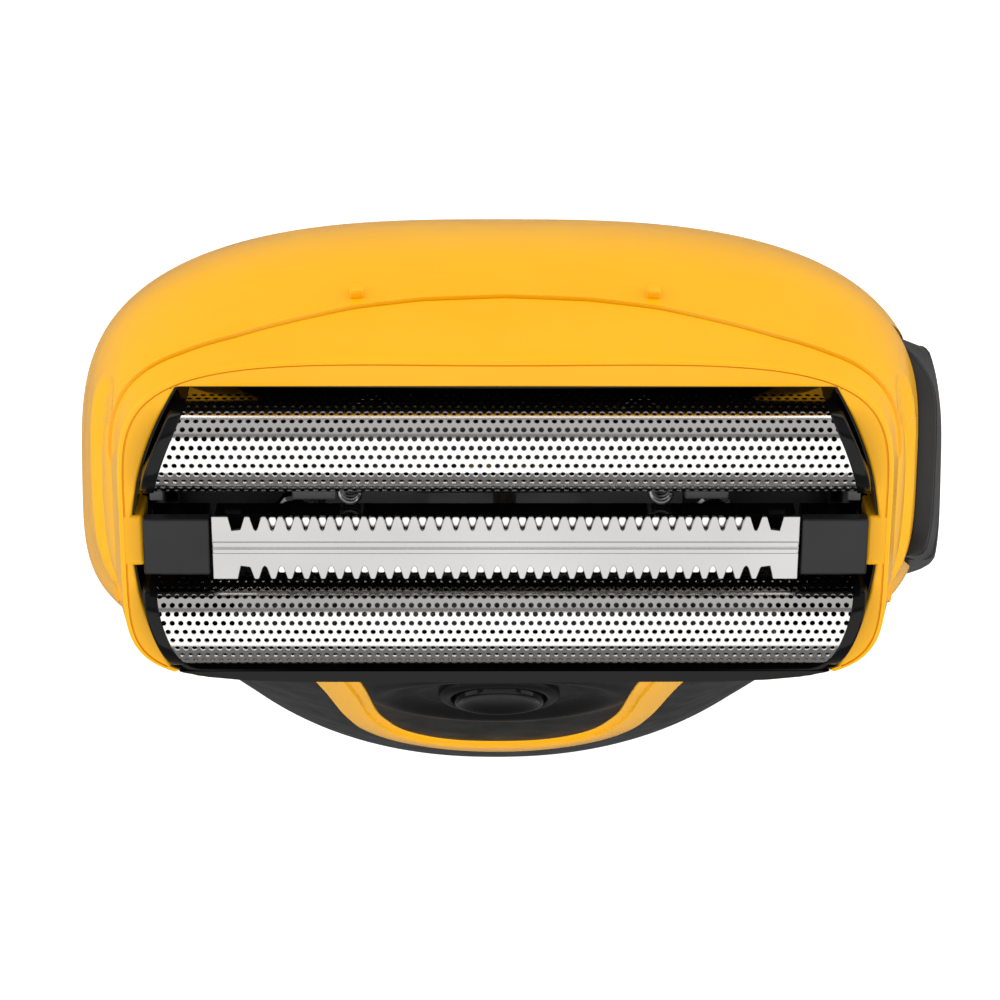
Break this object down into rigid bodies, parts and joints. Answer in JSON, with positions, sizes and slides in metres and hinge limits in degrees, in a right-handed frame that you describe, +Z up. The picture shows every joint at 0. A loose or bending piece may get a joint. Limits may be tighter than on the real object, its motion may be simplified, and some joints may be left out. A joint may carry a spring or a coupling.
{
  "type": "foil shaver",
  "caption": "Cordless foil shaver for a barber: gloss yellow shell, soft black front, two floating foils with a toothed trimmer between them, and a pop-out side trimmer.",
  "frame": {"origin": "centre of the flat base", "axes": "+Z up along the handle towards the foils, -Y towards the front with the power button, +X towards the side trimmer"},
  "size_m": [0.0573, 0.0368, 0.1213],
  "materials": {
    "yellow_gloss_plastic": "gloss",
    "soft_black_plastic": "soft-touch matt",
    "gloss_black_plastic": "gloss",
    "grey_plastic": "matt",
    "foil_steel": "polished",
    "brushed_steel": "satin",
    "brass": "satin",
    "board_green": "satin",
    "cell_wrap": "satin"
  },
  "bodies": {
    "handle": {"rear_shell": "yellow_gloss_plastic", "front_shell": "soft_black_plastic", "trim_band": "yellow_gloss_plastic", "control_pad": "soft_black_plastic", "button_ring": "gloss_black_plastic", "base_cap": "soft_black_plastic", "base_screw_left": "brushed_steel", "base_screw_right": "brushed_steel", "charging_socket": "gloss_black_plastic", "charging_pin_1": "brass", "charging_pin_2": "brass", "battery_cell": "cell_wrap", "battery_tab_bottom": "brushed_steel", "battery_tab_top": "brushed_steel", "circuit_board": "board_green", "switch_body": "grey_plastic", "battery_cradle": "grey_plastic", "motor_can": "brushed_steel", "motor_bracket": "grey_plastic", "top_deck": "soft_black_plastic", "side_trimmer_pin": "brushed_steel"},
    "power_button": {"power_button": "gloss_black_plastic"},
    "motor_rotor": {"motor_shaft": "brass"},
    "drive_carriage": {"drive_bridge": "grey_plastic"},
    "back_cutter": {"back_cutter": "brushed_steel", "back_cutter_spring_left": "brushed_steel", "back_cutter_spring_right": "brushed_steel"},
    "front_cutter": {"front_cutter": "brushed_steel", "front_cutter_spring_left": "brushed_steel", "front_cutter_spring_right": "brushed_steel"},
    "foil_head": {"head_frame": "yellow_gloss_plastic", "foil_cassette": "gloss_black_plastic"},
    "back_foil": {"back_foil": "foil_steel", "back_foil_cap_left": "gloss_black_plastic", "back_foil_cap_right": "gloss_black_plastic"},
    "front_foil": {"front_foil": "foil_steel", "front_foil_cap_left": "gloss_black_plastic", "front_foil_cap_right": "gloss_black_plastic"},
    "trimmer_float": {"trimmer_comb": "brushed_steel", "trimmer_carrier": "gloss_black_plastic", "trimmer_end_block_left": "gloss_black_plastic", "trimmer_end_block_right": "gloss_black_plastic", "trimmer_spring_left": "brushed_steel", "trimmer_spring_right": "brushed_steel"},
    "trimmer_blade": {"trimmer_blade": "brushed_steel"},
    "release_left": {"release_button_left": "yellow_gloss_plastic"},
    "release_right": {"release_button_right": "yellow_gloss_plastic"},
    "side_arm": {"side_trimmer_arm": "soft_black_plastic", "side_trimmer_comb": "brushed_steel"},
    "side_blade": {"side_trimmer_blade": "brushed_steel"}
  },
  "joints": [
    {"name": "power_press", "type": "slide", "parent": "handle", "child": "power_button", "axis": [0, 0.9751, -0.2215], "range_m": [0, 0.0008], "stiffness_N_per_m": 800},
    {"name": "motor_spin", "type": "hinge", "parent": "handle", "child": "motor_rotor", "pos_m": [0, -0.0012, 0.1054], "axis": [0, -0.4772, 0.8788], "continuous": true},
    {"name": "drive_stroke", "type": "slide", "parent": "handle", "child": "drive_carriage", "axis": [1, 0, 0], "range_m": [-0.001, 0.001], "stiffness_N_per_m": 300},
    {"name": "head_lift", "type": "slide", "parent": "handle", "child": "foil_head", "axis": [0, -0.4772, 0.8788], "range_m": [0, 0.025]},
    {"name": "back_foil_float", "type": "slide", "parent": "foil_head", "child": "back_foil", "axis": [0, -0.4772, 0.8788], "range_m": [-0.001, 0], "stiffness_N_per_m": 400},
    {"name": "front_foil_float", "type": "slide", "parent": "foil_head", "child": "front_foil", "axis": [0, -0.4772, 0.8788], "range_m": [-0.001, 0], "stiffness_N_per_m": 400},
    {"name": "trimmer_float", "type": "slide", "parent": "foil_head", "child": "trimmer_float", "axis": [0, -0.4772, 0.8788], "range_m": [-0.001, 0], "stiffness_N_per_m": 400},
    {"name": "trimmer_stroke", "type": "slide", "parent": "trimmer_float", "child": "trimmer_blade", "axis": [1, 0, 0], "range_m": [-0.001, 0.001]},
    {"name": "back_cutter_float", "type": "slide", "parent": "drive_carriage", "child": "back_cutter", "axis": [0, -0.4772, 0.8788], "range_m": [-0.001, 0], "stiffness_N_per_m": 300},
    {"name": "front_cutter_float", "type": "slide", "parent": "drive_carriage", "child": "front_cutter", "axis": [0, -0.4772, 0.8788], "range_m": [-0.001, 0], "stiffness_N_per_m": 300},
    {"name": "release_left_press", "type": "slide", "parent": "handle", "child": "release_left", "axis": [1, 0, 0], "range_m": [0, 0.0007], "stiffness_N_per_m": 900},
    {"name": "release_right_press", "type": "slide", "parent": "handle", "child": "release_right", "axis": [-1, 0, 0], "range_m": [0, 0.0007], "stiffness_N_per_m": 900},
    {"name": "side_trimmer_swing", "type": "hinge", "parent": "handle", "child": "side_arm", "pos_m": [0.0252, 0, 0.057], "axis": [0, 1, 0], "range_deg": [0, 90]},
    {"name": "side_blade_stroke", "type": "slide", "parent": "side_arm", "child": "side_blade", "axis": [0, 1, 0], "range_m": [-0.0005, 0.0005]}
  ],
  "couplings": [
    {"joint": "trimmer_stroke", "follows": "drive_stroke", "ratio": 1},
    {"joint": "side_blade_stroke", "follows": "drive_stroke", "ratio": 0.5},
    {"joint": "back_cutter_float", "follows": "back_foil_float", "ratio": 1},
    {"joint": "front_cutter_float", "follows": "front_foil_float", "ratio": 1}
  ]
}
